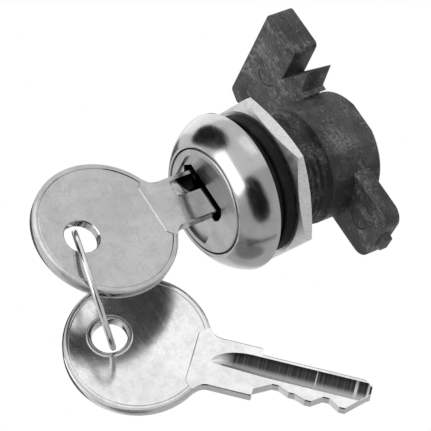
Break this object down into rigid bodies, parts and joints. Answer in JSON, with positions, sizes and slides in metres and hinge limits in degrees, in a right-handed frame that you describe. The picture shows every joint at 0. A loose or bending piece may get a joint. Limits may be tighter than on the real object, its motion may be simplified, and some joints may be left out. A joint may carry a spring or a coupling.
{
  "type": "drawer lock",
  "caption": "Cylinder lock for a drawer: domed bezel, threaded barrel with nut, and a rear case whose sliding hook bolt is driven by the key.",
  "frame": {"origin": "centre of the barrel in the plane where the bezel meets the panel", "axes": "+Y along the barrel from the key side into the drawer, +Z toward the hook end of the bolt, +X to the right seen from the key side"},
  "size_m": [0.0301, 0.0611, 0.0642],
  "materials": {
    "cylinder_body": "dark cast zinc, threaded neck",
    "bezel": "satin nickel plate",
    "gasket": "black rubber",
    "spacer_washer": "black moulded washer",
    "mounting_nut": "bright zinc plate",
    "bolt_case": "dark cast zinc",
    "case_pin": "plain steel",
    "plug": "satin nickel plate",
    "wafer": "plain brass",
    "wafer_spring": "plain spring wire",
    "drive_cam": "plain cast zinc",
    "cam_screw": "plain steel",
    "hook_bolt": "dark cast zinc with worn edges",
    "key": "satin nickel plate",
    "key_ring": "bright wire"
  },
  "bodies": {
    "lock": {"cylinder_body": "cylinder_body", "bezel": "bezel", "gasket": "gasket", "spacer_washer": "spacer_washer", "mounting_nut": "mounting_nut", "bolt_case": "bolt_case", "case_pin": "case_pin"},
    "plug": {"plug": "plug", "wafer_1": "wafer", "wafer_2": "wafer", "wafer_3": "wafer", "wafer_4": "wafer", "wafer_5": "wafer", "wafer_spring_1": "wafer_spring", "wafer_spring_2": "wafer_spring", "wafer_spring_3": "wafer_spring", "wafer_spring_4": "wafer_spring", "wafer_spring_5": "wafer_spring", "drive_cam": "drive_cam", "cam_screw": "cam_screw"},
    "bolt": {"hook_bolt": "hook_bolt"},
    "key": {"key": "key"},
    "ring": {"key_ring": "key_ring"},
    "spare": {"spare_key": "key"}
  },
  "joints": [
    {"name": "plug_turn", "type": "hinge", "parent": "lock", "child": "plug", "pos_m": [0, 0, 0], "axis": [0, -1, 0], "range_deg": [0, 90]},
    {"name": "bolt_slide", "type": "slide", "parent": "lock", "child": "bolt", "axis": [0, 0, 1], "range_m": [0, 0.00594]},
    {"name": "key_withdraw", "type": "slide", "parent": "plug", "child": "key", "axis": [0, -1, 0], "range_m": [0, 0.0205]},
    {"name": "ring_swing", "type": "hinge", "parent": "key", "child": "ring", "pos_m": [0.00032, -0.0298, 0.00217], "axis": [0.595, -0.4603, -0.6589], "range_deg": [-45, 15]},
    {"name": "spare_key_swing", "type": "hinge", "parent": "ring", "child": "spare", "pos_m": [-0.01326, -0.02683, -0.0115], "axis": [-0.5638, 0.4535, 0.6903], "range_deg": [-10, 45]}
  ],
  "couplings": [
    {"joint": "plug_turn", "follows": "bolt_slide", "rad_per_m": 264.4}
  ]
}
